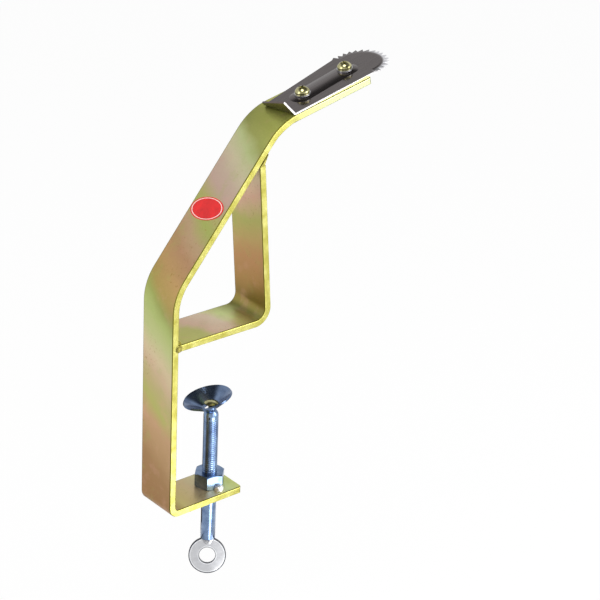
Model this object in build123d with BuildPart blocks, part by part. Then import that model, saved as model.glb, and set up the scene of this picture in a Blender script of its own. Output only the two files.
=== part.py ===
"""Table-clamp coconut scraper: a bent flat bar that clamps to a table's edge and carries a toothed blade.

Frame: +Z is up and +X points forwards, from the post to the blade. The origin is on the clamp screw's
axis, in the jaw's underside, which is the face that rests on the table. Millimetres.
"""

from build123d import *
import os
from math import asin, atan, cos, hypot, pi, radians, sin

os.makedirs("parts", exist_ok=True)

# ---------------------------------------------------------------- driving dimensions
# Flat bar stock, 1 1/4 by 3/16 inch
bar_width = 31.75
bar_thick = 4.76
bar_edge_round = 0.8
bar_corner_round = 2.0

# Main bar, seen from the side: foot, post, arm and nose
mouth_height = 116.0  # from the foot's top to the jaw's underside
throat_depth = 39.7  # from the post's front to the screw's axis
foot_overhang = 15.1  # of the foot past the screw's axis
post_height = 159.2  # from the foot's underside to the corner where the arm starts
arm_length = 127.7  # between the outer corners at the arm's two ends
arm_rise = 50.9  # degrees above level
nose_length = 76.0
nose_rise = 12.3  # degrees above level
foot_bend = 3.0  # inside radii of the three bends
arm_bend = 30.0
nose_bend = 35.0

# Brace bar: level jaw and upright
upright_setback = 29.95  # of the upright's back from the arm's upper corner, along the arm
upright_lean = 5.0  # degrees that the upright leans back
brace_bend = 7.2  # inside radius

# Welds
bead_leg = 3.0
bead_fullness = 1.9  # of its crown out of the corner, both ways
bead_inset = 1.5  # of a bead's ends from the bar's sides
side_blob_radius = 2.6
side_blob_height = 0.9
side_blob_taper = 40.0  # degrees
wedge_weld_recess = 1.5  # behind the upright's front
wedge_weld_proud = 0.4  # past the bar's sides
wedge_weld_spread = 5.0  # of the weld's foot up the arm, past the upright's front
wedge_weld_hollow = 0.4  # of its free face
tack_radius = 2.8
tack_distance = 10.2  # from the screw's axis
tack_heading = -88.0  # degrees about the screw's axis

# Clamp screw, its nut and its turning eye
screw_radius = 5.0
screw_length = 99.0
screw_below_foot = 37.0
running_gap = 0.05  # radial, of the screw in its nut and of the rivet in the screw
foot_hole_gap = 0.5  # radial, of the screw in the foot's hole
nut_across_flats = 18.5
nut_height = 10.0
nut_heading = 45.1  # degrees, of one corner
nut_chamfer = 30.0  # degrees, at both ends of every nut
eye_outer_radius = 12.7
eye_hole_radius = 5.55
eye_thick = 2.0
eye_heading = -128.5  # degrees, of the side that the eye's face looks to
eye_lean = 14.0  # degrees, of the eye's face upwards
eye_weld_depth = 4.5
eye_weld_tip_radius = 2.6

# Swivel cup and the rivet that traps it
cup_thick = 1.2
cup_hole_radius = 3.6
cup_flat_radius = 5.4
cup_rim_radius = 16.3
cup_depth = 7.0
cup_crease_radius = 2.0
cup_lean = 15.0  # degrees, of the cup resting against the rivet
cup_lean_heading = 139.0  # degrees, of the side that it leans to
pivot_depth = 2.65  # of the cup's rocking centre below the screw's domed top
seat_gap = 0.3  # between parts that move on each other
rivet_radius = 2.0
rivet_head_radius = 4.6
rivet_head_thick = 1.7
rivet_edge_thick = 0.6
rivet_shank_depth = 12.0  # inside the screw

# Blade, on top of the nose
blade_thick = 1.2
blade_setback = 10.5  # of the blade's rear bend from the nose's outer corner
blade_shift = -2.6  # of that bend's centre across the bar
blade_skew = 5.5  # degrees, of the blade's centreline
blade_rear_half_width = 12.9
blade_front_centre = 73.5  # of the round front's centre from the rear bend
blade_front_radius = 18.0
tooth_pitch = 4.2
tooth_crest = 1.4  # outside the blade's outline
tooth_gullet = 2.2  # inside it
tooth_lean = 0.22  # share of the pitch between a gullet and the crest behind it
side_tooth_count = 8  # on each side of the middle tooth
grind_width = 5.5
grind_depth = 0.8
grind_span = 204.0  # degrees about the round front's centre
lip_bend = 57.0  # degrees that the lip is turned up
lip_skew = 3.0  # degrees, of the lip's fold on the blade
lip_height_near = 14.5
lip_height_far = 4.0
lip_fold_radius = 1.0  # inside radius
rib_half_width = 7.5
rib_height = 1.1  # of the arched rib that is pressed up out of the blade
rib_overrun = 2.0  # of the centres of its round ends past the screws

# Blade's screws, washers and nuts, M5
blade_screw_setback = 20.7  # of the rear screw from the rear bend
blade_screw_spacing = 39.2
fastener_radius = 2.5
fastener_length = 14.0
fastener_hole_gap = 0.25
head_radius = 4.75
head_height = 4.2
head_side_height = 1.4
recess_length = 5.2
recess_width = 1.3
recess_depth = 2.4
recess_taper = 12.0
washer_radius = 5.2
washer_thick = 1.0
small_nut_across_flats = 8.0
small_nut_height = 4.0
rear_recess_turn = 20.0  # degrees, of the crosses and of the nuts' corners
front_recess_turn = 60.0
rear_nut_turn = 10.0
front_nut_turn = 40.0

# Oval label on the arm
label_long_radius = 14.0
label_short_radius = 7.9
label_thick = 0.2
label_rise = 59.2  # of its centre up the arm
label_shift = 1.0
label_turn = 103.0  # degrees

# ---------------------------------------------------------------- lines of the side view
half_width = bar_width / 2
foot_top = -mouth_height
foot_under = foot_top - bar_thick
post_front = -throat_depth
post_back = post_front - bar_thick


def direction(turn, rise=0.0):
    """A direction turned about +Z from +X and then raised above level, in degrees."""
    level = cos(radians(rise))
    return Vector(level * cos(radians(turn)), level * sin(radians(turn)), sin(radians(rise)))


def side_direction(angle):
    """A direction in the side view, in degrees from +X towards +Z."""
    return Vector(cos(radians(angle)), 0, sin(radians(angle)))


def flat(point):
    """A point of the side view, as the two numbers that a sketch on Plane.XZ takes."""
    return (point.X, point.Z)


def crossing(point_a, direction_a, point_b, direction_b):
    """Where two lines of the side view cross."""
    across = direction_a.X * direction_b.Z - direction_a.Z * direction_b.X
    gap = point_b - point_a
    along = (gap.X * direction_b.Z - gap.Z * direction_b.X) / across
    return point_a + direction_a * along


def profile_plane(plane):
    """The plane through a plane's X and Z axes, for a profile that turns about its Z axis."""
    return Plane(origin=plane.origin, x_dir=plane.x_dir, z_dir=plane.y_dir * -1)


def crown(half_span, edge_height, top_height):
    """Three points of a head's domed top: its edge, a point half way in, and its level middle."""
    rise = top_height - edge_height
    dome_radius = (half_span**2 + rise**2) / (2 * rise)
    half_way = half_span / 2
    half_way_height = top_height - dome_radius + (dome_radius**2 - half_way**2) ** 0.5
    return [(half_span, edge_height), (half_way, half_way_height), (0, top_height)]


foot_tip = Vector(foot_overhang, 0, foot_under)
foot_corner = Vector(post_back, 0, foot_under)
arm_corner = foot_corner + Vector(0, 0, post_height)
nose_corner = arm_corner + side_direction(arm_rise) * arm_length
nose_tip = nose_corner + side_direction(nose_rise) * nose_length

# Planes on the bar's outer faces: X runs along the bar, Y across it, and Z out of the metal
arm_plane = Plane(arm_corner, x_dir=side_direction(arm_rise), z_dir=side_direction(arm_rise + 90))
nose_plane = Plane(nose_corner, x_dir=side_direction(nose_rise), z_dir=side_direction(nose_rise + 90))
foot_tip_plane = Plane(foot_tip, x_dir=(1, 0, 0), z_dir=(0, 0, 1))
nose_tip_plane = Plane(nose_tip, x_dir=nose_plane.x_dir, z_dir=nose_plane.z_dir)

# The blade's plane lies on the nose, with its origin in the middle of the rear bend
blade_plane = Plane(nose_plane.location * Location((blade_setback, blade_shift, 0), (0, 0, blade_skew)))
rear_screw_place = (blade_screw_setback, 0)
front_screw_place = (blade_screw_setback + blade_screw_spacing, 0)

# ---------------------------------------------------------------- the two bars


def bar_section(start, thickness_direction, run_direction):
    """The bar's rounded section, with the path along the middle of one wide face."""
    with BuildSketch(Plane(start, x_dir=thickness_direction, z_dir=run_direction)) as section:
        RectangleRounded(bar_thick, bar_width, bar_edge_round, align=(Align.MIN, Align.CENTER))
    return section.sketch


def tip_offcuts(plane):
    """What comes off a bar's tip to round its two corners in plan."""
    with BuildSketch(plane) as offcuts:
        Rectangle(bar_corner_round, bar_width + bar_thick, align=(Align.MAX, Align.CENTER))
        RectangleRounded(
            4 * bar_corner_round,
            bar_width,
            bar_corner_round,
            align=(Align.MAX, Align.CENTER),
            mode=Mode.SUBTRACT,
        )
    return offcuts.sketch


with BuildPart() as main_bar:
    with BuildLine(Plane.XZ) as main_path:
        FilletPolyline(
            [flat(foot_tip), flat(foot_corner), flat(arm_corner), flat(nose_corner), flat(nose_tip)],
            radius=[foot_bend + bar_thick, arm_bend + bar_thick, nose_bend + bar_thick],
        )
    sweep(bar_section(foot_tip, (0, 0, 1), (-1, 0, 0)), path=main_path.wire())
    for tip_plane in (foot_tip_plane, nose_tip_plane):
        extrude(tip_offcuts(tip_plane), amount=2 * bar_thick, both=True, mode=Mode.SUBTRACT)
    # The clamp screw's hole in the foot
    with BuildSketch(Plane.XY.offset(foot_under)):
        Circle(screw_radius + foot_hole_gap)
    extrude(amount=bar_thick, mode=Mode.SUBTRACT)
    # The blade's two holes in the nose
    with BuildSketch(blade_plane):
        with Locations(rear_screw_place, front_screw_place):
            Circle(fastener_radius + fastener_hole_gap)
    extrude(amount=-bar_thick, mode=Mode.SUBTRACT)

# The upright ends square, where its back edge meets the arm's underside
arm_run = side_direction(arm_rise)
upright_run = side_direction(90 + upright_lean)
upright_inwards = side_direction(180 + upright_lean)
upright_back_top = nose_corner + side_direction(arm_rise - 90) * bar_thick - arm_run * upright_setback
upright_front_top = upright_back_top - upright_inwards * bar_thick
brace_start = Vector(post_front, 0, 0)
brace_corner = crossing(brace_start, side_direction(0), upright_front_top, upright_run)

with BuildPart() as brace_bar:
    with BuildLine(Plane.XZ) as brace_path:
        FilletPolyline(
            [flat(brace_start), flat(brace_corner), flat(upright_front_top)],
            radius=[brace_bend + bar_thick],
        )
    sweep(bar_section(brace_start, (0, 0, 1), (1, 0, 0)), path=brace_path.wire())

# ---------------------------------------------------------------- welds on the bars
bead_root = Vector(post_front, 0, bar_thick)
bead_top = bead_root + Vector(0, 0, bead_leg)
bead_toe = bead_root + Vector(bead_leg, 0, 0)
bead_crown = bead_root + Vector(bead_fullness, 0, bead_fullness)

with BuildPart() as jaw_weld:
    # A convex bead in the corner above the jaw
    with BuildSketch(Plane.XZ):
        with BuildLine():
            Polyline(flat(bead_toe), flat(bead_root), flat(bead_top))
            ThreePointArc(flat(bead_top), flat(bead_crown), flat(bead_toe))
        make_face()
    extrude(amount=half_width - bead_inset, both=True)
    # A flattened blob on each side of the joint
    for side in (-1, 1):
        with BuildSketch(Plane((post_front, side * half_width, bar_thick / 2), z_dir=(0, side, 0))):
            Circle(side_blob_radius)
        extrude(amount=side_blob_height, taper=side_blob_taper)

# The wedge between the upright's square end and the sloping arm, drawn in at its front
weld_lip = upright_front_top + upright_inwards * wedge_weld_recess
weld_neck = crossing(weld_lip, upright_run, upright_back_top, arm_run)
weld_toe = weld_neck + arm_run * wedge_weld_spread
weld_middle = (weld_lip + weld_toe) / 2
weld_waist = weld_middle + (upright_back_top - weld_middle).normalized() * wedge_weld_hollow

with BuildPart() as arm_weld:
    with BuildSketch(Plane.XZ):
        with BuildLine():
            Polyline(flat(weld_toe), flat(upright_back_top), flat(weld_lip))
            ThreePointArc(flat(weld_lip), flat(weld_waist), flat(weld_toe))
        make_face()
    extrude(amount=half_width + wedge_weld_proud, both=True)

# ---------------------------------------------------------------- hex nuts and washers


def hex_nut(plane, across_flats, height, bore_radius, corner_turn, chamfer_angle):
    """A hex nut standing on a plane, chamfered at both ends, with its thread left as a plain bore."""
    corner_radius = across_flats / (2 * cos(pi / 6))
    corner_reach = corner_radius - across_flats / 2
    chamfer_drop = corner_reach * sin(radians(chamfer_angle)) / cos(radians(chamfer_angle))
    with BuildPart() as nut:
        with BuildSketch(plane):
            RegularPolygon(corner_radius, 6, rotation=corner_turn)
            Circle(bore_radius, mode=Mode.SUBTRACT)
        extrude(amount=height)
        with BuildSketch(profile_plane(plane)):
            Polygon(
                (0, 0),
                (across_flats / 2, 0),
                (corner_radius, chamfer_drop),
                (corner_radius, height - chamfer_drop),
                (across_flats / 2, height),
                (0, height),
                align=None,
            )
        revolve(axis=Axis(plane.origin, plane.z_dir), mode=Mode.INTERSECT)
    return nut


def washer(plane, hole_radius, outer_radius, thick):
    """A plain washer lying on a plane."""
    with BuildPart() as ring:
        with BuildSketch(plane):
            Circle(outer_radius)
            Circle(hole_radius, mode=Mode.SUBTRACT)
        extrude(amount=thick)
    return ring


foot_top_plane = Plane.XY.offset(foot_top)
clamp_nut = hex_nut(
    foot_top_plane,
    nut_across_flats,
    nut_height,
    screw_radius + running_gap,
    nut_heading,
    nut_chamfer,
)

with BuildPart() as nut_welds:
    for tack_turn in (tack_heading, tack_heading + 180):
        with Locations(direction(tack_turn) * tack_distance + Vector(0, 0, foot_top)):
            Sphere(tack_radius)
    # The foot and the nut cut the tacks' lower and inner sides
    with BuildSketch(foot_top_plane):
        Rectangle(2 * bar_width, 2 * bar_width)
    extrude(amount=-2 * tack_radius, mode=Mode.SUBTRACT)
    with BuildSketch(foot_top_plane):
        RegularPolygon(nut_across_flats / 2, 6, major_radius=False, rotation=nut_heading)
    extrude(amount=nut_height, mode=Mode.SUBTRACT)

# ---------------------------------------------------------------- clamp screw and turning eye
screw_end = foot_under - screw_below_foot
screw_top = screw_end + screw_length
shoulder = screw_top - screw_radius

with BuildPart() as clamp_screw:
    with BuildSketch(Plane.XZ):
        with BuildLine():
            Polyline((0, screw_top), (0, screw_end), (screw_radius, screw_end), (screw_radius, shoulder))
            CenterArc((0, shoulder), screw_radius, 0, 90)
        make_face()
    revolve(axis=Axis.Z)
    # The rivet's bore, a little deeper than its shank
    with BuildSketch(Plane.XY.offset(screw_top)):
        Circle(rivet_radius + running_gap)
    extrude(amount=-(rivet_shank_depth + seat_gap), mode=Mode.SUBTRACT)

# The eye hangs on edge under the screw, leaning so that its face looks up a little
eye_level = direction(eye_heading)
eye_up = Vector(0, 0, cos(radians(eye_lean))) - eye_level * sin(radians(eye_lean))
eye_out = direction(eye_heading, eye_lean)
eye_centre = (
    Vector(0, 0, screw_end - eye_thick / 2 * sin(radians(eye_lean)))
    - eye_up * eye_outer_radius
)
eye_back = Plane(eye_centre - eye_out * (eye_thick / 2), x_dir=eye_up, z_dir=eye_out)
eye_ring = washer(eye_back, eye_hole_radius, eye_outer_radius, eye_thick)

with BuildPart() as eye_weld:
    with BuildSketch(Plane.XZ):
        Polygon(
            (0, screw_end),
            (screw_radius, screw_end),
            (eye_weld_tip_radius, screw_end - eye_weld_depth),
            (0, screw_end - eye_weld_depth),
            align=None,
        )
    revolve(axis=Axis.Z)
    add(eye_ring.part, mode=Mode.SUBTRACT)

# ---------------------------------------------------------------- swivel cup and its rivet
pivot = Vector(0, 0, screw_top - pivot_depth)
# The cup's floor clears the screw's domed top when it leans
cup_floor = screw_radius - (screw_radius - pivot_depth) * cos(radians(cup_lean)) + seat_gap
cup_axis = direction(cup_lean_heading, 90 - cup_lean)
cup_plane = Plane(pivot, x_dir=direction(cup_lean_heading, -cup_lean), z_dir=cup_axis)

with BuildPart() as swivel_cup:
    with BuildSketch(profile_plane(cup_plane)):
        with BuildLine():
            middle = cup_floor + cup_thick / 2
            FilletPolyline(
                [(cup_hole_radius, middle), (cup_flat_radius, middle), (cup_rim_radius, middle + cup_depth)],
                radius=[cup_crease_radius],
            )
        trace(line_width=cup_thick)
    revolve(axis=Axis(pivot, cup_axis))

# The rivet's head clears the cup's high side, which its edge stands over when the cup leans
floor_top = cup_floor + cup_thick
edge_reach = (rivet_head_radius + floor_top * sin(radians(cup_lean))) / cos(radians(cup_lean))
edge_rise = max(0.0, edge_reach - cup_flat_radius) * cup_depth / (cup_rim_radius - cup_flat_radius)
lifted_floor = (floor_top + edge_rise) * cos(radians(cup_lean)) + edge_reach * sin(radians(cup_lean))
head_under = pivot.Z + lifted_floor + seat_gap
head_edge = head_under + rivet_edge_thick
head_top = head_under + rivet_head_thick
rivet_foot = screw_top - rivet_shank_depth

with BuildPart() as cup_rivet:
    with BuildSketch(Plane.XZ):
        with BuildLine():
            Polyline(
                (0, head_top),
                (0, rivet_foot),
                (rivet_radius, rivet_foot),
                (rivet_radius, head_under),
                (rivet_head_radius, head_under),
                (rivet_head_radius, head_edge),
            )
            ThreePointArc(*crown(rivet_head_radius, head_edge, head_top))
        make_face()
    revolve(axis=Axis.Z)

# ---------------------------------------------------------------- blade
rear_to_front = hypot(blade_rear_half_width, blade_front_centre)
# The angle at which the straight sides flare, so that they run into the round front smoothly
side_flare = asin(blade_front_radius / rear_to_front) - atan(blade_rear_half_width / blade_front_centre)
quarter_run = blade_front_radius * (pi / 2 + side_flare)


def edge_point(run, outwards):
    """A point of the blade's edge, at a run from its tip along the edge and so far outside it."""
    side = 1 if run >= 0 else -1
    on_round = min(abs(run), quarter_run)
    on_side = abs(run) - on_round
    angle = on_round / blade_front_radius
    reach = blade_front_radius + outwards
    forwards = blade_front_centre + reach * cos(angle) - on_side * cos(side_flare)
    sideways = reach * sin(angle) - on_side * sin(side_flare)
    return (forwards, side * sideways)


def toothed_edge():
    """The blade's toothed edge, from the rear of its near side round the tip to the far side."""
    last_run = (side_tooth_count + 0.5) * tooth_pitch
    far_side = [edge_point(0, tooth_crest)]
    for tooth in range(side_tooth_count):
        gullet_run = (tooth + 0.5) * tooth_pitch
        far_side.append(edge_point(gullet_run, -tooth_gullet))
        far_side.append(edge_point(gullet_run + tooth_lean * tooth_pitch, tooth_crest))
    far_side.append(edge_point(last_run, 0))
    near_side = [(forwards, -sideways) for forwards, sideways in reversed(far_side[1:])]
    return near_side + far_side


# The rib is the top of a long round bar with ball ends, whose axis lies deep under the blade
rib_radius = (rib_half_width**2 + rib_height**2) / (2 * rib_height)
rib_axis_height = blade_thick + rib_height - rib_radius
rib_rear = blade_screw_setback - rib_overrun
rib_run = blade_screw_spacing + 2 * rib_overrun
rib_top = blade_thick + rib_height


def rib_form(radius):
    """What of a bar of this radius about the rib's axis stands above the blade's underside."""
    axis_start = blade_plane.from_local_coords((rib_rear, 0, rib_axis_height))
    axis_plane = Plane(axis_start, x_dir=blade_plane.x_dir, z_dir=blade_plane.y_dir * -1)
    with BuildPart() as form:
        with BuildSketch(axis_plane):
            with BuildLine():
                Line((-radius, 0), (rib_run + radius, 0))
                CenterArc((rib_run, 0), radius, 0, 90)
                Line((rib_run, radius), (0, radius))
                CenterArc((0, 0), radius, 90, 90)
            make_face()
        revolve(axis=Axis(axis_plane.origin, axis_plane.x_dir))
        with BuildSketch(blade_plane):
            Rectangle(4 * blade_front_centre, 4 * blade_front_radius)
        extrude(amount=2 * rib_top, mode=Mode.INTERSECT)
    return form.part


lip_back = lip_height_near  # room behind the bend for the lip
rear_half = blade_rear_half_width - lip_back * sin(side_flare) / cos(side_flare)
lip_angle = radians(180 - lip_bend)
fold_plane = Plane(blade_plane.location * Location((0, 0, 0), (0, 0, lip_skew)))
with BuildPart() as blade:
    # The folded strip, wider than the blade: the flat, the fold and the lip
    with BuildSketch(profile_plane(fold_plane)):
        with BuildLine():
            strip_end = blade_front_centre + 2 * blade_front_radius
            FilletPolyline(
                [
                    (strip_end, blade_thick / 2),
                    (0, blade_thick / 2),
                    (lip_height_near * cos(lip_angle), lip_height_near * sin(lip_angle) + blade_thick / 2),
                ],
                radius=[lip_fold_radius + blade_thick / 2],
            )
        trace(line_width=blade_thick)
    extrude(amount=2 * blade_front_radius, both=True)
    # The outline in plan, carried on behind the fold
    with BuildSketch(blade_plane):
        Polygon((-lip_back, rear_half), (-lip_back, -rear_half), *toothed_edge(), align=None)
    extrude(amount=2 * lip_height_near, both=True, mode=Mode.INTERSECT)
    # The lip's upper edge drops towards the far side
    up_lip = fold_plane.x_dir * cos(lip_angle) + fold_plane.z_dir * sin(lip_angle)
    out_of_lip = fold_plane.x_dir * sin(lip_angle) - fold_plane.z_dir * cos(lip_angle)
    to_side = fold_plane.y_dir * blade_rear_half_width
    near_top = fold_plane.origin - to_side + up_lip * lip_height_near
    far_top = fold_plane.origin + to_side + up_lip * lip_height_far
    lip_cut = Plane(near_top, x_dir=out_of_lip, z_dir=out_of_lip.cross(far_top - near_top))
    split(bisect_by=lip_cut, keep=Keep.BOTTOM)
    # The teeth are ground thin from above
    crest_radius = blade_front_radius + tooth_crest
    grind_start = Location((blade_front_centre, 0, 0), (0, 0, -grind_span / 2))
    grind_plane = Plane(blade_plane.location * grind_start)
    with BuildSketch(profile_plane(grind_plane)):
        Polygon(
            (crest_radius - grind_width, blade_thick),
            (crest_radius + tooth_crest, blade_thick - grind_depth),
            (crest_radius + tooth_crest, 2 * blade_thick),
            (crest_radius - grind_width, 2 * blade_thick),
            align=None,
        )
    revolve(
        axis=Axis(grind_plane.origin, grind_plane.z_dir),
        revolution_arc=grind_span,
        mode=Mode.SUBTRACT,
    )
    # The rib is as thick as the sheet, so it is hollow below
    add(rib_form(rib_radius))
    add(rib_form(rib_radius - blade_thick), mode=Mode.SUBTRACT)
    with BuildSketch(blade_plane):
        with Locations(rear_screw_place, front_screw_place):
            Circle(fastener_radius + fastener_hole_gap)
    extrude(amount=rib_top, mode=Mode.SUBTRACT)

# ---------------------------------------------------------------- the blade's screws, washers and nuts


def pan_screw(plane, recess_turn):
    """A pan head screw with a cross recess, its head standing on a plane and its shank below it."""
    with BuildPart() as screw:
        with BuildSketch(profile_plane(plane)):
            with BuildLine():
                Polyline(
                    (0, head_height),
                    (0, -fastener_length),
                    (fastener_radius, -fastener_length),
                    (fastener_radius, 0),
                    (head_radius, 0),
                    (head_radius, head_side_height),
                )
                ThreePointArc(*crown(head_radius, head_side_height, head_height))
            make_face()
        revolve(axis=Axis(plane.origin, plane.z_dir))
        with BuildSketch(plane.offset(head_height)):
            Rectangle(recess_length, recess_width, rotation=recess_turn)
            Rectangle(recess_length, recess_width, rotation=recess_turn + 90)
        extrude(amount=-recess_depth, taper=recess_taper, mode=Mode.SUBTRACT)
    return screw


fasteners = {}
for row, place, recess_turn, nut_turn in (
    ("rear", rear_screw_place, rear_recess_turn, rear_nut_turn),
    ("front", front_screw_place, front_recess_turn, front_nut_turn),
):
    on_rib = Plane(blade_plane.location * Location((*place, rib_top)))
    on_washer = on_rib.offset(washer_thick)
    # Under the nose, facing down
    under_nose = Plane(
        blade_plane.from_local_coords((*place, -bar_thick)),
        x_dir=blade_plane.x_dir,
        z_dir=blade_plane.z_dir * -1,
    )
    hole_radius = fastener_radius + fastener_hole_gap
    fasteners[f"blade_washer_{row}"] = washer(on_rib, hole_radius, washer_radius, washer_thick)
    fasteners[f"blade_screw_{row}"] = pan_screw(on_washer, recess_turn)
    fasteners[f"blade_nut_{row}"] = hex_nut(
        under_nose,
        small_nut_across_flats,
        small_nut_height,
        fastener_radius + running_gap,
        nut_turn,
        nut_chamfer,
    )

# ---------------------------------------------------------------- label
with BuildPart() as oval_label:
    with BuildSketch(arm_plane):
        with Locations((label_rise, label_shift)):
            Ellipse(label_long_radius, label_short_radius, rotation=label_turn)
    extrude(amount=label_thick)

# ---------------------------------------------------------------- the pieces, each in its own file
pieces = {
    "main_bar": main_bar,
    "brace_bar": brace_bar,
    "jaw_weld": jaw_weld,
    "arm_weld": arm_weld,
    "clamp_nut": clamp_nut,
    "nut_welds": nut_welds,
    "clamp_screw": clamp_screw,
    "eye_ring": eye_ring,
    "eye_weld": eye_weld,
    "swivel_cup": swivel_cup,
    "cup_rivet": cup_rivet,
    "blade": blade,
    **fasteners,
    "oval_label": oval_label,
}
for name, piece in pieces.items():
    piece.part.label = name
    export_step(piece.part, f"parts/{name}.step")
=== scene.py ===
# %% [markdown]
# # A table-clamp kitchen scraper, dressed for a studio picture
#
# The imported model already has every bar, weld, screw and tooth in its place, in metres. This lesson gives
# each one the finish of the real thing, models the few pieces that need more detail than the solids have,
# and sets up a camera and a small white studio around them.

import bmesh
import bpy
from math import atan2, cos, pi, radians, sin
from mathutils import Matrix, Vector
from mathutils.noise import turbulence


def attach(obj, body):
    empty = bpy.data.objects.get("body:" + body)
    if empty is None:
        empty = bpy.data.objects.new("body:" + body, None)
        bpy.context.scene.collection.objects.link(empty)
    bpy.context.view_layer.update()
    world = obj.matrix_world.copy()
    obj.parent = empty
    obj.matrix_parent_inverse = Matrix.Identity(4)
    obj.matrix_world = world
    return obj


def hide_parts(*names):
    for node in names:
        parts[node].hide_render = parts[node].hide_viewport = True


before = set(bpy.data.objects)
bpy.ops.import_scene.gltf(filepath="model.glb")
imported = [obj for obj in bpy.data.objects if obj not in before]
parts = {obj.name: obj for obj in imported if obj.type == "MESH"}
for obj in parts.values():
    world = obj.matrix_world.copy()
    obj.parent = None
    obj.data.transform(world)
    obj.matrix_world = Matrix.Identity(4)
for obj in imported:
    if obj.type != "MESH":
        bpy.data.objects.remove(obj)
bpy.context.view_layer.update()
print("pieces in the packed model:", len(parts))

# %% [markdown]
# ## Camera
#
# The picture was taken from behind the post and to one side of it, a little above it, with a long lens:
# parallel edges hardly draw together. Such a view can be set by eye, but here the camera's place and its
# three turns were worked out from straight edges whose sizes are known, so they are simply written down.
# The roll is part of it: the object stands about three degrees out of true in the picture.

# %% Place the camera
MM = 0.001
CAMERA_PLACE = Vector((-719.566, -906.082, 568.484)) * MM
CAMERA_TURN = radians(-41.167)  # about +Z, from a view along +Y
CAMERA_HEIGHT = radians(25.281)  # above level
CAMERA_ROLL = radians(2.770)
LENS = 120  # millimetres, for a sensor 36 wide

backwards = Vector((
    sin(CAMERA_TURN) * cos(CAMERA_HEIGHT),
    -cos(CAMERA_TURN) * cos(CAMERA_HEIGHT),
    sin(CAMERA_HEIGHT),
))
level_right = Vector((cos(CAMERA_TURN), sin(CAMERA_TURN), 0))
upright = backwards.cross(level_right)
right = level_right * cos(CAMERA_ROLL) + upright * sin(CAMERA_ROLL)
up = upright * cos(CAMERA_ROLL) - level_right * sin(CAMERA_ROLL)

camera = bpy.data.objects.new("camera", bpy.data.cameras.new("camera"))
camera.data.lens = LENS
camera.data.sensor_width = 36
camera.data.clip_end = 50
camera.matrix_world = Matrix.Translation(CAMERA_PLACE) @ Matrix((right, up, backwards)).transposed().to_4x4()
bpy.context.scene.collection.objects.link(camera)
bpy.context.scene.camera = camera
print("camera to origin:", round(CAMERA_PLACE.length, 3), "m")

# %% [markdown]
# ## Helpers for materials
#
# Every finish here is a small tree of nodes around one Principled shader. A finish could be put together by
# hand in the editor. In code, short helpers keep the trees readable. One adds a node with its settings and
# links, one turns a colour as a screen shows it into the linear colour that the sockets take, and the rest
# stand for the few steps that most of the finishes share.

# %% Material helpers
FINE_RELIEF = 0.03 * MM  # of the finest grain on plated metal


def linear(red, green, blue):
    """A colour as a screen shows it, 0 to 255, in linear light with full alpha."""

    def channel(value):
        share = value / 255
        return share / 12.92 if share <= 0.04045 else ((share + 0.055) / 1.055) ** 2.4

    return (channel(red), channel(green), channel(blue), 1.0)


def add_node(tree, kind, sockets=None, **settings):
    """A new node, with plain settings, and with a value or a link for each named input."""
    node = tree.nodes.new(kind)
    for name, value in settings.items():
        setattr(node, name, value)
    for name, value in (sockets or {}).items():
        if isinstance(value, bpy.types.NodeSocket):
            tree.links.new(value, node.inputs[name])
        else:
            node.inputs[name].default_value = value
    return node


def new_finish(name, **values):
    """A material with one Principled shader, and the shader's plain values."""
    material = bpy.data.materials.new(name)
    material.use_nodes = True
    shader = material.node_tree.nodes["Principled BSDF"]
    for socket, value in values.items():
        shader.inputs[socket.replace("_", " ")].default_value = value
    return material, material.node_tree, shader


def dress(material, *names):
    """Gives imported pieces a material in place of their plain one."""
    for name in names:
        parts[name].data.materials.clear()
        parts[name].data.materials.append(material)


def object_place(tree):
    """The place of a point on the object, in metres."""
    return add_node(tree, "ShaderNodeTexCoord").outputs["Object"]


def noise(tree, place, scale, detail=2.0, roughness=0.5, distortion=0.0):
    """Cloudy noise between 0 and 1, with a scale in patches for each metre."""
    made = add_node(
        tree,
        "ShaderNodeTexNoise",
        {"Vector": place, "Scale": scale, "Detail": detail, "Roughness": roughness, "Distortion": distortion},
    )
    return made.outputs["Fac"]


def math_node(tree, operation, first, second=0.0, third=0.0):
    """One sum on numbers or links."""
    made = add_node(tree, "ShaderNodeMath", {0: first, 1: second, 2: third}, operation=operation)
    return made.outputs[0]


def between(tree, value, low, high, new_low=0.0, new_high=1.0):
    """A value stretched from one range to another and kept inside it."""
    made = add_node(
        tree,
        "ShaderNodeMapRange",
        {"Value": value, "From Min": low, "From Max": high, "To Min": new_low, "To Max": new_high},
    )
    return made.outputs["Result"]


def colour_bands(tree, value, bands):
    """Colours that melt into each other along a value, each at its own place."""
    start, end = bands[0][0], bands[-1][0]
    ramp = add_node(tree, "ShaderNodeValToRGB", {"Fac": between(tree, value, start, end)})
    stops = ramp.color_ramp.elements
    while len(stops) < len(bands):
        stops.new(0.5)
    for stop, (place, colour) in zip(stops, bands):
        stop.position = (place - start) / (end - start)
        stop.color = linear(*colour)
    return ramp.outputs["Color"]


def blend_colour(tree, share, first, second, how="MIX"):
    """One colour over another, by a share."""
    made = add_node(tree, "ShaderNodeMix", data_type="RGBA", blend_type=how)
    for socket, value in ((0, share), (6, first), (7, second)):
        if isinstance(value, bpy.types.NodeSocket):
            tree.links.new(value, made.inputs[socket])
        else:
            made.inputs[socket].default_value = value
    return made.outputs[2]


def reach_along(tree, place, start, way):
    """How far a place is from a start, along one direction, in metres."""
    from_start = add_node(tree, "ShaderNodeVectorMath", {0: place, 1: start}, operation="SUBTRACT")
    return add_node(
        tree, "ShaderNodeVectorMath", {0: from_start.outputs["Vector"], 1: way}, operation="DOT_PRODUCT"
    ).outputs["Value"]


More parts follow.
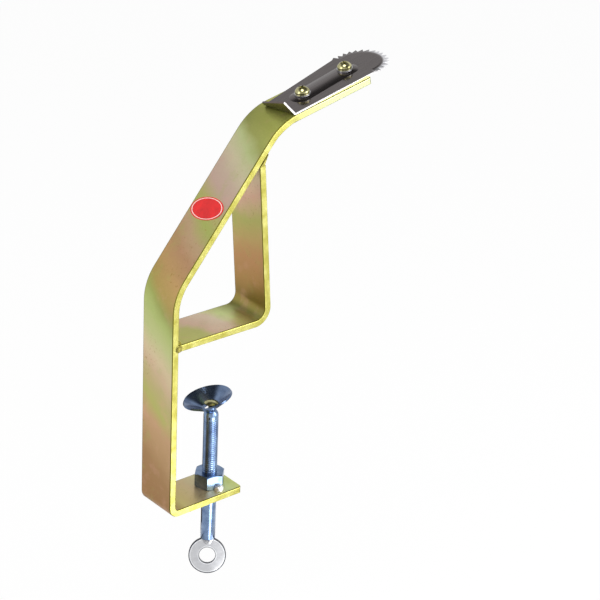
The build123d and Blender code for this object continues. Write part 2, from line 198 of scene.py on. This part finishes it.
def shaded(tree, colour, grain, dark, bright):
    """A colour times a grey, which follows a grain from dark to bright."""
    shade = between(tree, grain, 0.3, 0.7, dark, bright)
    grey = add_node(tree, "ShaderNodeCombineColor", {0: shade, 1: shade, 2: shade}).outputs[0]
    return blend_colour(tree, 1.0, colour, grey, "MULTIPLY")


def bump(tree, shader, height, distance, strength):
    """Small relief in metres, from a height between 0 and 1."""
    made = add_node(tree, "ShaderNodeBump", {"Height": height, "Distance": distance, "Strength": strength})
    tree.links.new(made.outputs["Normal"], shader.inputs["Normal"])


print("material helpers ready")

# %% Object helper
def mesh_object(name, mesh, material):
    """A finished mesh as an object at the origin, with its material."""
    data = bpy.data.meshes.new(name)
    mesh.to_mesh(data)
    mesh.free()
    data.materials.append(material)
    made = bpy.data.objects.new(name, data)
    bpy.context.scene.collection.objects.link(made)
    return made


print("object helper ready")

# %% [markdown]
# ## Yellow chromated zinc
#
# Both bars are zinc plated and then dipped in yellow chromate. The film is thinner than a wavelength of
# light, so it shows bands of green, gold and pink where its thickness changes. The thin film inputs of the
# shader could make such colours, but then nobody decides where a band lies. Here the bands are laid out
# along the bar: a height along its run, bent by a little noise, picks a colour from a ramp. The sheared
# sides took a thicker, plain yellow film. The dark line along the rounded corners is a painted dark
# reflection, and the paler sides of the nose are a painted highlight.

# %% Measure along the bars
ARM_RISE = radians(50.9)
WOBBLE = 16.0 * MM  # of the bands along the run
FOOT_DEPTH = (-112.0 * MM, -115.5 * MM)  # heights between which the foot's bands take over
FOOT_AHEAD = (-41.0 * MM, -30.0 * MM)  # and places along the foot


def run_along(tree, place, side_slope):
    """How far a point is along the bar's run, slanted and bent by noise, and its place split in three."""
    split = add_node(tree, "ShaderNodeSeparateXYZ", {"Vector": place}).outputs
    along_x = math_node(tree, "MULTIPLY", split["X"], cos(ARM_RISE))
    along_xz = math_node(tree, "MULTIPLY_ADD", split["Z"], sin(ARM_RISE), along_x)
    slanted = math_node(tree, "MULTIPLY_ADD", split["Y"], side_slope, along_xz)
    cloud = noise(tree, place, 34, detail=3.0, distortion=0.4)
    centred = math_node(tree, "SUBTRACT", cloud, 0.5)
    return math_node(tree, "MULTIPLY_ADD", centred, WOBBLE, slanted), split


def cover_foot(tree, split, film):
    """The foot's own bands, which run forwards, laid over the film below the post."""
    low = between(tree, split["Z"], *FOOT_DEPTH)
    ahead = between(tree, split["X"], *FOOT_AHEAD)
    share = math_node(tree, "MULTIPLY", low, ahead)
    return blend_colour(tree, share, film, colour_bands(tree, split["X"], FOOT_BANDS))


print("the arm rises", round(ARM_RISE, 3), "rad")

# %% Make the bars' finish
CORNER_START = 14.9 * MM  # of the bars' rounded corners, from the middle of their width
CORNER_END = 15.74 * MM
NOSE_SIDE = (40.0 * MM, 75.0 * MM)  # where the nose's sides turn pale
PINK, GREEN, BROWN = linear(222, 170, 150), linear(162, 182, 92), linear(150, 112, 44)
# The corner colour is a painted dark reflection, and the pale side colour is a painted highlight on the nose
PAINTED_CORNER_REFLECTION, NOSE_SIDE_HIGHLIGHT = linear(112, 106, 30), linear(190, 195, 146)
SIDE_BANDS = [
    (0.30, (166, 160, 72)),
    (0.50, (182, 177, 94)),
    (0.75, (200, 196, 120)),
]


def yellow_zinc(name, bands, side_slope, cover=None):
    """Chromated zinc with its own bands of colour along the run."""
    material, tree, shader = new_finish(name, Metallic=0.86, Specular_IOR_Level=0.5)
    place = object_place(tree)
    run, split = run_along(tree, place, side_slope)
    film = colour_bands(tree, run, bands)
    if cover:
        film = cover(tree, split, film)
    # Pink and green clouds within the bands
    cloud = noise(tree, place, 70, detail=4.0, roughness=0.6)
    film = blend_colour(tree, between(tree, cloud, 0.54, 0.74, 0.0, 0.3), film, PINK)
    film = blend_colour(tree, between(tree, cloud, 0.44, 0.26, 0.0, 0.3), film, GREEN)
    # Brown specks, which the dip left here and there
    specks = noise(tree, place, 620, detail=2.0, roughness=0.4)
    patches = noise(tree, place, 28, detail=1.0)
    speckled = math_node(
        tree, "MULTIPLY", between(tree, specks, 0.64, 0.72), between(tree, patches, 0.5, 0.62, 0.0, 0.45)
    )
    film = blend_colour(tree, speckled, film, BROWN)
    # The sides and the corners
    off_middle = math_node(tree, "ABSOLUTE", split["Y"])
    side_cloud = noise(tree, place, 150, detail=2.0)
    side_film = colour_bands(tree, side_cloud, SIDE_BANDS)
    # Painted highlight: the nose's sides turn pale
    on_nose = between(tree, split["X"], *NOSE_SIDE)
    side_film = blend_colour(tree, on_nose, side_film, NOSE_SIDE_HIGHLIGHT)
    # Painted dark reflection along the rounded corners
    on_corner = between(tree, off_middle, CORNER_START, CORNER_START + 0.3 * MM)
    film = blend_colour(tree, on_corner, film, PAINTED_CORNER_REFLECTION)
    on_side = between(tree, off_middle, CORNER_END - 0.2 * MM, CORNER_END)
    film = blend_colour(tree, on_side, film, side_film)
    # Fine grain of the rolled surface under the film
    grain = noise(tree, place, 900, detail=5.0, roughness=0.7)
    tree.links.new(shaded(tree, film, grain, 0.95, 1.04), shader.inputs["Base Color"])
    tree.links.new(between(tree, grain, 0.2, 0.8, 0.36, 0.46), shader.inputs["Roughness"])
    bump(tree, shader, grain, FINE_RELIEF, 0.4)
    return material


print("side film has", len(SIDE_BANDS), "colours")

# %% [markdown]
# ## The bars' bands
#
# On the real bars each band lies where the film reached one thickness. Noise alone could scatter such
# colours, but then the green and the pink would fall anywhere. So every band is written down with its place
# along the run, in metres, and its colour, and was tuned until the lit bar looked like the real one. The
# bands slant across the bar, each bar by its own slope.

# %% Dress the main bar
MAIN_SLOPE = -0.55
FOOT_BANDS = [
    (-0.0360, (212, 202, 124)),
    (-0.0240, (214, 194, 134)),
    (-0.0140, (222, 200, 154)),
    (-0.0040, (226, 218, 172)),
    (0.0060, (214, 228, 160)),
    (0.0150, (216, 224, 138)),
]
BAR_BANDS = [
    (-0.1120, (160, 120, 75)),
    (-0.0950, (168, 130, 85)),
    (-0.0830, (188, 152, 108)),
    (-0.0740, (198, 160, 120)),
    (-0.0640, (184, 182, 104)),
    (-0.0540, (192, 178, 124)),
    (-0.0440, (208, 182, 148)),
    (-0.0360, (214, 196, 158)),
    (-0.0260, (194, 198, 138)),
    (-0.0150, (178, 190, 116)),
    (-0.0060, (158, 164, 90)),
    (0.0030, (172, 150, 86)),
    (0.0160, (190, 154, 102)),
    (0.0310, (184, 144, 108)),
    (0.0430, (190, 162, 126)),
    (0.0540, (172, 180, 100)),
    (0.0640, (182, 176, 112)),
    (0.0760, (198, 170, 154)),
    (0.0860, (200, 178, 158)),
    (0.0960, (206, 196, 162)),
    (0.1060, (190, 198, 142)),
    (0.1150, (164, 167, 96)),
    # The two bands under the blade's lip are film colour lightened with painted light, against the lip's
    # shade on the bar
    (0.1290, (184, 188, 98)),
    (0.1450, (222, 232, 124)),
    (0.1890, (200, 194, 112)),
]
bar_finish = yellow_zinc("yellow zinc on the main bar", BAR_BANDS, MAIN_SLOPE, cover_foot)
dress(bar_finish, "main_bar")
print("main bar dressed with", len(BAR_BANDS), "bands and its foot with", len(FOOT_BANDS))

# %% Dress the brace
BRACE_SLOPE = 0.2
BRACE_BANDS = [
    (-0.0200, (196, 198, 110)),
    (-0.0090, (198, 196, 120)),
    (-0.0040, (224, 192, 166)),
    (0.0050, (232, 214, 186)),
    (0.0100, (218, 228, 156)),
    (0.0150, (188, 196, 124)),
    (0.0210, (152, 148, 78)),
    (0.0300, (152, 126, 66)),
    (0.0380, (184, 144, 86)),
    (0.0500, (198, 150, 102)),
    (0.0600, (196, 170, 108)),
    (0.0710, (184, 182, 106)),
    (0.0820, (220, 182, 156)),
    (0.0930, (234, 216, 184)),
    (0.1050, (216, 206, 150)),
]
brace_finish = yellow_zinc("yellow zinc on the brace", BRACE_BANDS, BRACE_SLOPE)
dress(brace_finish, "brace_bar")
print("brace dressed with", len(BRACE_BANDS), "bands")

# %% [markdown]
# ## Weld metal
#
# The brace is welded on before plating, so the weld carries the same chromate, but it looks duller and
# darker because its surface is rough. A rougher version of the same kind of finish is enough. The nut was
# tacked on later, so its two small welds are bare and bright. They could stay the plain beads of the packed
# model, but here each starts as a ball, which noise makes lumpy, because the light picks them out.

# %% Dress the welds
weld_finish, tree, shader = new_finish("plated weld", Metallic=0.8)
place = object_place(tree)
lumps = noise(tree, place, 420, detail=4.0, roughness=0.65)
tree.links.new(
    colour_bands(tree, lumps, [(0.25, (84, 76, 34)), (0.5, (142, 134, 62)), (0.75, (206, 200, 112))]),
    shader.inputs["Base Color"],
)
tree.links.new(between(tree, lumps, 0.2, 0.8, 0.32, 0.55), shader.inputs["Roughness"])
bump(tree, shader, lumps, 0.0004, 0.6)
dress(weld_finish, "jaw_weld", "arm_weld")

tack_finish, tree, shader = new_finish("bare tack weld", Metallic=0.85)
place = object_place(tree)
lumps = noise(tree, place, 700, detail=3.0)
tree.links.new(
    colour_bands(tree, lumps, [(0.3, (196, 198, 196)), (0.7, (250, 250, 248))]),
    shader.inputs["Base Color"],
)
tree.links.new(between(tree, lumps, 0.2, 0.8, 0.22, 0.4), shader.inputs["Roughness"])
bump(tree, shader, lumps, 0.0003, 0.5)
print("welds dressed")

# %% Model the nut's two tack welds
TACK_RADIUS = 3.5 * MM
TACK_DISTANCE = 10.0 * MM
TACK_HEADING = radians(-88)
TACK_LIFT = 0.4 * MM
TACK_CROWN = 0.95  # of the ball's height above its middle
TACK_ROOT = 0.25  # and below it
LUMP_HEIGHT = 0.5 * MM
FOOT_TOP = -116.0 * MM


def add_piece(mesh, name, material, body):
    """A finished mesh as a smooth piece that moves with a body of the frame."""
    piece = mesh_object(name, mesh, material)
    for face in piece.data.polygons:
        face.use_smooth = True
    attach(piece, body)
    print(name, "has", len(piece.data.polygons), "faces")
    return piece


tacks = bmesh.new()
for heading in (TACK_HEADING, TACK_HEADING + pi):
    centre = Vector((cos(heading), sin(heading), 0)) * TACK_DISTANCE
    centre.z = FOOT_TOP + TACK_LIFT
    ball = bmesh.ops.create_icosphere(tacks, subdivisions=4, radius=TACK_RADIUS)["verts"]
    for vertex in ball:
        lump = turbulence(vertex.co * 420 + centre * 90, 2, False) * LUMP_HEIGHT
        vertex.co += vertex.co.normalized() * lump
        vertex.co.z *= TACK_CROWN if vertex.co.z > 0 else TACK_ROOT
        vertex.co += centre
tack_piece = add_piece(tacks, "tack_welds", tack_finish, "frame")
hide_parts("nut_welds")

# %% [markdown]
# ## Blue zinc
#
# The clamp's screw, nut and cup are bright zinc with a blue passivated film. It is nearly a mirror, so most
# of what it shows is the room: white where it faces the paper, deep blue where it faces the dark. The blue
# could come from thin film, but that shifts with the view. A cool metal that is smooth, with faint clouds
# of blue, keeps its colour from every side. Its blues are darker than bright zinc: in part painted dark
# reflection, most of all in the cup.

# %% Make the blue zinc and dress the nut and the cup
def blue_zinc(name, dark, bright, smoothness):
    """Bright zinc with a thin blue film, cloudy between two blues."""
    material, tree, shader = new_finish(name, Metallic=0.96)
    place = object_place(tree)
    cloud = noise(tree, place, 130, detail=3.0, roughness=0.55)
    colour = colour_bands(tree, cloud, [(0.3, dark), (0.7, bright)])
    tree.links.new(colour, shader.inputs["Base Color"])
    fine = noise(tree, place, 1500, detail=3.0)
    tree.links.new(between(tree, fine, 0.2, 0.8, smoothness, smoothness + 0.1), shader.inputs["Roughness"])
    bump(tree, shader, fine, FINE_RELIEF, 0.4)
    return material


# Blues darker than bright zinc, partly a painted dark reflection, darkest in the cup's hollow
nut_finish = blue_zinc("blue zinc on the nut", (96, 118, 152), (140, 162, 194), 0.16)
cup_finish = blue_zinc("blue zinc on the cup", (74, 92, 124), (120, 140, 172), 0.12)
dress(nut_finish, "clamp_nut")
dress(cup_finish, "swivel_cup")
print("nut and cup dressed")

# %% [markdown]
# ## Clamp screw
#
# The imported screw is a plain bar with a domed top. The real one has a rolled M10 thread down to a plain
# end above the eye. A thread can be spun as a helix, but its two ends then need caps. Here a closed bar is
# spun from its outline, with many rings along the threaded length, and each ring's points move in where the
# groove passes, so the skin stays closed and the groove fades out at both ends. The groove has half of a real
# one's depth, so that the crests keep the band of light that runs down the screw.

# %% Spin the screw's bar
SCREW_RADIUS = 5.0 * MM
SCREW_TOP = -58.76 * MM
SCREW_END = -157.76 * MM
THREAD_TOP = -65.2 * MM
THREAD_END = -128.4 * MM
THREAD_PITCH = 1.5 * MM
THREAD_DEPTH = 0.45 * MM
GROOVE_SHARE = 0.22  # of a pitch, from a groove's middle to its edge
FADE = 1.6 * MM
END_CHAMFER = 0.3 * MM
DOME_STEP = 10  # degrees between the dome's rings
RINGS_A_TURN = 12
SCREW_SIDES = 56


def spun(outline, sides):
    """A closed body, spun about +Z from an outline of (radius, height) points."""
    mesh = bmesh.new()
    corners = [mesh.verts.new((radius, 0, height)) for radius, height in outline]
    edges = [mesh.edges.new(pair) for pair in zip(corners, corners[1:])]
    bmesh.ops.spin(
        mesh,
        geom=corners + edges,
        axis=(0, 0, 1),
        cent=(0, 0, 0),
        steps=sides,
        angle=2 * pi,
        use_merge=True,
    )
    bmesh.ops.remove_doubles(mesh, verts=mesh.verts, dist=1e-7)
    bmesh.ops.recalc_face_normals(mesh, faces=mesh.faces)
    return mesh


outline = [
    (0, SCREW_END),
    (SCREW_RADIUS - END_CHAMFER, SCREW_END),
    (SCREW_RADIUS, SCREW_END + END_CHAMFER),
]
ring_gap = THREAD_PITCH / RINGS_A_TURN
ring_count = int((THREAD_TOP - THREAD_END) / ring_gap)
outline += [(SCREW_RADIUS, THREAD_END + ring * ring_gap) for ring in range(ring_count + 1)]
shoulder = SCREW_TOP - SCREW_RADIUS
for degrees_up in range(0, 90, DOME_STEP):
    angle = radians(degrees_up)
    outline.append((SCREW_RADIUS * cos(angle), shoulder + SCREW_RADIUS * sin(angle)))
outline.append((0, SCREW_TOP))
screw_mesh = spun(outline, SCREW_SIDES)
print("the threaded length has", ring_count, "rings")

# %% Cut the thread and dress the screw
for vertex in screw_mesh.verts:
    height = vertex.co.z
    if THREAD_END < height < THREAD_TOP:
        turn = atan2(vertex.co.y, vertex.co.x) / (2 * pi)
        phase = (height / THREAD_PITCH - turn) % 1.0
        groove = max(0.0, 1.0 - abs(phase - 0.5) / GROOVE_SHARE)
        fade = min(1.0, (height - THREAD_END) / FADE, (THREAD_TOP - height) / FADE)
        reach = 1.0 - THREAD_DEPTH * groove * fade / SCREW_RADIUS
        vertex.co.x *= reach
        vertex.co.y *= reach

# Blues darker than bright zinc, partly a painted dark reflection
screw_finish = blue_zinc("blue zinc on the screw", (88, 108, 144), (130, 154, 186), 0.13)
screw_piece = add_piece(screw_mesh, "threaded_screw", screw_finish, "screw")
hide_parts("clamp_screw")

# %% [markdown]
# ## Eye, washers and small fasteners
#
# The turning eye is a plain stamped washer, welded on edge under the screw. It is paler and less blue than
# the screw. Its two rims carry a bright band, a painted highlight, and a dark edge, painted shade. The rims
# could be modelled, but they are a quarter of a millimetre wide, so bands around the eye's middle draw them.
# The rivet that holds the cup was chromated like the bars, and so were the blade's screws and nuts.

# %% Dress the washers and the small fasteners
def pale_steel(name, dark, bright, smoothness):
    """Stamped and plated steel, pale, with a fine rolled grain."""
    material, tree, shader = new_finish(name, Metallic=0.92)
    place = object_place(tree)
    cloud = noise(tree, place, 260, detail=4.0, roughness=0.6)
    tree.links.new(
        colour_bands(tree, cloud, [(0.3, dark), (0.7, bright)]),
        shader.inputs["Base Color"],
    )
    tree.links.new(between(tree, cloud, 0.2, 0.8, smoothness, smoothness + 0.14), shader.inputs["Roughness"])
    bump(tree, shader, noise(tree, place, 1800, detail=2.0), FINE_RELIEF, 0.5)
    return material


washer_finish = pale_steel("pale zinc on the washers", (178, 180, 186), (212, 212, 214), 0.2)
dress(washer_finish, "eye_weld", "blade_washer_rear", "blade_washer_front")
rivet_finish = pale_steel("yellow zinc on small parts", (120, 117, 74), (208, 203, 152), 0.08)
dress(rivet_finish, "cup_rivet", "blade_screw_rear", "blade_screw_front", "blade_nut_rear", "blade_nut_front")
print("washers and small fasteners dressed")

# %% Dress the eye
EYE_CENTRE = Vector((-1.913, -2.404, -170.325)) * MM
eye_finish, tree, shader = new_finish("pale zinc on the eye", Metallic=0.92)
place = object_place(tree)
eye_distance = add_node(tree, "ShaderNodeVectorMath", {0: place, 1: EYE_CENTRE}, operation="DISTANCE")
# Bright bands inside both rims are a painted highlight, and the dark bands at their edges painted shade
EYE_RIM_LIGHT_AND_SHADE = [
    (5.6 * MM, (52, 54, 62)),
    (5.9 * MM, (120, 122, 130)),
    (6.2 * MM, (238, 240, 242)),
    (6.8 * MM, (196, 197, 201)),
    (11.3 * MM, (200, 201, 204)),
    (11.8 * MM, (242, 244, 246)),
    (12.15 * MM, (150, 152, 160)),
    (12.4 * MM, (44, 46, 54)),
]
rim_bands_painted = colour_bands(tree, eye_distance.outputs["Value"], EYE_RIM_LIGHT_AND_SHADE)
cloud = noise(tree, place, 260, detail=4.0, roughness=0.6)
tree.links.new(shaded(tree, rim_bands_painted, cloud, 0.93, 1.03), shader.inputs["Base Color"])
tree.links.new(between(tree, cloud, 0.2, 0.8, 0.26, 0.36), shader.inputs["Roughness"])
bump(tree, shader, noise(tree, place, 1800, detail=2.0), FINE_RELIEF, 0.5)
dress(eye_finish, "eye_ring")
print("eye dressed with", len(EYE_RIM_LIGHT_AND_SHADE), "bands")

# %% [markdown]
# ## Blade
#
# The blade is a thin sheet of steel, polished dark, with ground teeth. The bare sheared edge of its near side
# is drawn near white, a painted highlight, and so is the near half of the teeth at its front. Its lip has a
# brown tint, a painted reflection of the bar. One material could be given to each of these, but they share
# one sheet, so one finish tells them apart by place: along the blade, across it and out of it.

# %% Measure along the blade
NOSE_RISE = radians(12.3)
BLADE_SKEW = radians(5.5)
BLADE_FLARE = radians(4.0)
BLADE_START = Vector((46.335, -2.6, 139.781)) * MM
REAR_HALF_WIDTH = 12.9 * MM
FRONT_CENTRE = 73.5 * MM
GROUND_RADIUS = 14.9 * MM
nose_run = Vector((cos(NOSE_RISE), 0, sin(NOSE_RISE)))
blade_up = Vector((-sin(NOSE_RISE), 0, cos(NOSE_RISE)))
sideways = Vector((0, 1, 0))
blade_run = nose_run * cos(BLADE_SKEW) + sideways * sin(BLADE_SKEW)
blade_across = sideways * cos(BLADE_SKEW) - nose_run * sin(BLADE_SKEW)
rear_near_corner = BLADE_START - blade_across * REAR_HALF_WIDTH
out_of_near_edge = -blade_run * sin(BLADE_FLARE) - blade_across * cos(BLADE_FLARE)
print("the blade runs along", [round(share, 3) for share in blade_run])

# %% Dress the blade
TOOTH_HIGHLIGHT_SHARE = 0.85
# Painted highlights on the front teeth and the near edge, and a painted reflection of the bar on the lip
TOOTH_PAINTED_HIGHLIGHT, BARE_EDGE_HIGHLIGHT, LIP_PAINTED_REFLECTION = linear(226, 226, 230), linear(250, 248, 250), linear(92, 72, 64)
blade_finish, tree, shader = new_finish("dark polished steel", Metallic=0.96)
place = object_place(tree)
forwards = reach_along(tree, place, BLADE_START + blade_run * FRONT_CENTRE, blade_run)
across = reach_along(tree, place, BLADE_START, blade_across)
above = reach_along(tree, place, BLADE_START, blade_up)
# Faint polishing streaks that run along the blade
streak_place = add_node(tree, "ShaderNodeCombineXYZ", {
    "X": math_node(tree, "MULTIPLY", forwards, 60),
    "Y": math_node(tree, "MULTIPLY", across, 900),
    "Z": 0.0,
}).outputs["Vector"]
streaks = noise(tree, streak_place, 1.0, detail=3.0)
steel = colour_bands(tree, streaks, [(0.25, (86, 80, 80)), (0.75, (106, 100, 99))])
# Painted reflection of the bar on the lip, a brown tint
lip_reflection_share = between(tree, above, 3.0 * MM, 6.0 * MM, 0.0, 0.7)
steel = blend_colour(tree, lip_reflection_share, steel, LIP_PAINTED_REFLECTION)
forwards_squared = math_node(tree, "MULTIPLY", forwards, forwards)
from_centre = math_node(tree, "SQRT", math_node(tree, "MULTIPLY_ADD", across, across, forwards_squared))
# Painted highlight on the near half of the front teeth
in_front = math_node(
    tree,
    "MULTIPLY",
    between(tree, forwards, -5.0 * MM, 1.0 * MM),
    between(tree, across, 9.0 * MM, 0.0),
)
tooth_highlight_mask = math_node(
    tree, "MULTIPLY", in_front, between(tree, from_centre, GROUND_RADIUS, GROUND_RADIUS + 1.2 * MM)
)
steel = blend_colour(tree, math_node(tree, "MULTIPLY", tooth_highlight_mask, TOOTH_HIGHLIGHT_SHARE), steel, TOOTH_PAINTED_HIGHLIGHT)
# Painted highlight: the bare near edge drawn near white
past_edge = reach_along(tree, place, rear_near_corner, out_of_near_edge)
bare = between(tree, past_edge, -0.45 * MM, -0.2 * MM)
steel = blend_colour(tree, bare, steel, BARE_EDGE_HIGHLIGHT)
tree.links.new(steel, shader.inputs["Base Color"])
tree.links.new(between(tree, streaks, 0.2, 0.8, 0.12, 0.2), shader.inputs["Roughness"])
dress(blade_finish, "blade")
print("blade dressed")

# %% [markdown]
# ## Oval label
#
# A glossy red oval is stuck on the arm. It is left plain, with a thin pale line inside its edge. The line
# could be a second piece. It is only ink, so it is drawn by the material: the distance from the oval's
# middle, measured in the oval's own two directions, is one at its edge and nine tenths on the line.

# %% Make the label's finish
LABEL_CENTRE = Vector((-44.46, 0, 38.44)) * MM
LABEL_RISE = 59.2 * MM
LABEL_SHIFT = 1.0 * MM
LABEL_TURN = radians(103)
LABEL_LONG = 14.0 * MM
LABEL_SHORT = 7.9 * MM
LINE_PLACE = 0.9
arm_run = Vector((cos(ARM_RISE), 0, sin(ARM_RISE)))
label_centre = LABEL_CENTRE + arm_run * LABEL_RISE + Vector((0, LABEL_SHIFT, 0))
long_way = arm_run * cos(LABEL_TURN) + Vector((0, sin(LABEL_TURN), 0))
short_way = arm_run * -sin(LABEL_TURN) + Vector((0, cos(LABEL_TURN), 0))

label_finish, tree, shader = new_finish("red label film", Roughness=0.28)
place = object_place(tree)
shares = []
for way, reach in ((long_way, LABEL_LONG), (short_way, LABEL_SHORT)):
    share = reach_along(tree, place, label_centre, way / reach)
    shares.append(math_node(tree, "MULTIPLY", share, share))
ring_place = math_node(tree, "SQRT", math_node(tree, "ADD", *shares))
off_line = math_node(tree, "ABSOLUTE", math_node(tree, "SUBTRACT", ring_place, LINE_PLACE))
line = between(tree, off_line, 0.018, 0.034, 1.0, 0.0)
ink = noise(tree, place, 200, detail=2.0)
red = colour_bands(tree, ink, [(0.3, (196, 10, 14)), (0.7, (222, 22, 24))])
tree.links.new(blend_colour(tree, line, red, linear(246, 214, 206)), shader.inputs["Base Color"])
dress(label_finish, "oval_label")
print("label dressed")

# %% [markdown]
# ## Studio
#
# The object hangs in white surroundings. The floor lies just below the eye at the screw's lowest place, so
# no pose sinks into it. More light could turn floor and walls white, but it would bleach the object too. So
# they look white to the camera through the Light Path node, whatever light falls on them. What shines sees
# the same white floor, and white walls that end in a dark ceiling.

# %% Lay the floor
FLOOR = -229.0 * MM
PAPER_GLOW = 0.94  # share of the paper that shows as plain white
paper = bpy.data.materials.new("white paper")
paper.use_nodes = True
tree = paper.node_tree
tree.nodes.clear()
rays = add_node(tree, "ShaderNodeLightPath").outputs
seen = math_node(tree, "MAXIMUM", rays["Is Camera Ray"], rays["Is Glossy Ray"])
seen = math_node(tree, "MAXIMUM", seen, rays["Is Transmission Ray"])
matt = add_node(tree, "ShaderNodeBsdfDiffuse", {"Color": linear(232, 232, 232)})
glow = add_node(tree, "ShaderNodeEmission", {"Color": (1, 1, 1, 1), "Strength": 1.0})
mix = add_node(
    tree,
    "ShaderNodeMixShader",
    {0: math_node(tree, "MULTIPLY", seen, PAPER_GLOW), 1: matt.outputs[0], 2: glow.outputs[0]},
)
add_node(tree, "ShaderNodeOutputMaterial", {"Surface": mix.outputs[0]})

floor_mesh = bmesh.new()
bmesh.ops.create_grid(floor_mesh, x_segments=1, y_segments=1, size=12)
bmesh.ops.translate(floor_mesh, verts=floor_mesh.verts, vec=(0, 0, FLOOR))
floor = mesh_object("floor", floor_mesh, paper)
print("floor at", round(FLOOR, 4), "m")

# %% Build the world
CEILING_START = sin(radians(36))
CEILING_END = sin(radians(49))
ROOM_LIGHT = 0.62
WALL_SHINE = 0.84
CEILING_SHINE = 0.08
world = bpy.data.worlds.new("white studio")
bpy.context.scene.world = world
world.use_nodes = True
tree = world.node_tree
tree.nodes.clear()
rays = add_node(tree, "ShaderNodeLightPath").outputs
seen = math_node(tree, "MAXIMUM", rays["Is Camera Ray"], rays["Is Transmission Ray"])
strength = between(tree, seen, 0.0, 1.0, ROOM_LIGHT, 1.0)
way = add_node(tree, "ShaderNodeTexCoord").outputs["Generated"]
height = add_node(tree, "ShaderNodeSeparateXYZ", {"Vector": way}).outputs["Z"]
mirrored = between(tree, height, CEILING_START, CEILING_END, WALL_SHINE, CEILING_SHINE)
strength = add_node(
    tree, "ShaderNodeMix", {0: rays["Is Glossy Ray"], 2: strength, 3: mirrored}, data_type="FLOAT"
).outputs[0]
room = add_node(tree, "ShaderNodeBackground", {"Color": (1, 1, 1, 1), "Strength": strength})
add_node(tree, "ShaderNodeOutputWorld", {"Surface": room.outputs[0]})
print("ceiling darkens from", round(CEILING_START, 3), "to", round(CEILING_END, 3))

# %% [markdown]
# ## Lamps and cards
#
# Soft lamps light the object from the right, from above and from the left. A bright metal in an all-white
# room has no shape, so cards stand where only reflections see them, as in a real studio. Bigger or stronger
# lamps could draw the same bright band on the screw, but they would also bleach the bars. The bright cards
# draw that band, and the dark ones give the screw its deep blue sides.

# %% Hang the lamps
def softbox(name, place, target, width, height, power):
    """A soft rectangular lamp that faces a point."""
    lamp = bpy.data.lights.new(name, "AREA")
    lamp.shape = "RECTANGLE"
    lamp.size = width
    lamp.size_y = height
    lamp.energy = power
    holder = bpy.data.objects.new(name, lamp)
    aim = Vector(target) - Vector(place)
    holder.matrix_world = Matrix.Translation(place) @ aim.to_track_quat("-Z", "Y").to_matrix().to_4x4()
    holder.visible_camera = False
    bpy.context.scene.collection.objects.link(holder)
    print(name, power, "W")


softbox("key softbox", (0.75, -1.1, 0.75), (0, 0, 0), 0.7, 0.7, 8)
softbox("low side softbox", (0.5, -0.9, 0.13), (0, 0, -0.02), 0.7, 0.6, 6)
softbox("top softbox", (-0.35, -0.25, 1.4), (0, 0, 0), 0.6, 0.6, 7)
softbox("left softbox", (-1.3, 0.2, 0.5), (0, 0, 0), 0.7, 1.0, 5)

# %% Put up the reflection cards
CARD_STEPS = 12
CARD_HEIGHT = -182.6 * MM


def sector_card(name, headings, inner, outer, strength):
    """A card that only reflections see, between two arcs around the screw, each a reach and a height."""
    start, end = headings
    mesh = bmesh.new()
    rims = []
    for reach, height in (inner, outer):
        turns = [radians(start + (end - start) * step / CARD_STEPS) for step in range(CARD_STEPS + 1)]
        rims.append([mesh.verts.new((reach * cos(turn), reach * sin(turn), height)) for turn in turns])
    for step in range(CARD_STEPS):
        mesh.faces.new((rims[0][step], rims[1][step], rims[1][step + 1], rims[0][step + 1]))
    material = bpy.data.materials.new(name)
    material.use_nodes = True
    tree = material.node_tree
    tree.nodes.clear()
    glow = add_node(tree, "ShaderNodeEmission", {"Color": (1, 1, 1, 1), "Strength": strength})
    add_node(tree, "ShaderNodeOutputMaterial", {"Surface": glow.outputs[0]})
    card = mesh_object(name, mesh, material)
    for sight in ("camera", "diffuse", "transmission", "volume_scatter", "shadow"):
        setattr(card, "visible_" + sight, False)
    print(name, "between headings", start, "and", end)


sector_card("bright floor card", (-108, -72), (0.012, CARD_HEIGHT), (0.34, CARD_HEIGHT), 6.5)
sector_card("bright standing card", (-100, -66), (0.9, CARD_HEIGHT), (0.9, 0.7), 2.5)
sector_card("dark far card", (40, 112), (0.045, CARD_HEIGHT), (0.45, CARD_HEIGHT), 0.05)
sector_card("dark near card", (-205, -138), (0.14, CARD_HEIGHT), (0.4, CARD_HEIGHT), 0.05)

# %% [markdown]
# ## Colour output
#
# The colours are judged as written, so the view transform is Standard.

# %% Finish
bpy.context.scene.view_settings.view_transform = "Standard"
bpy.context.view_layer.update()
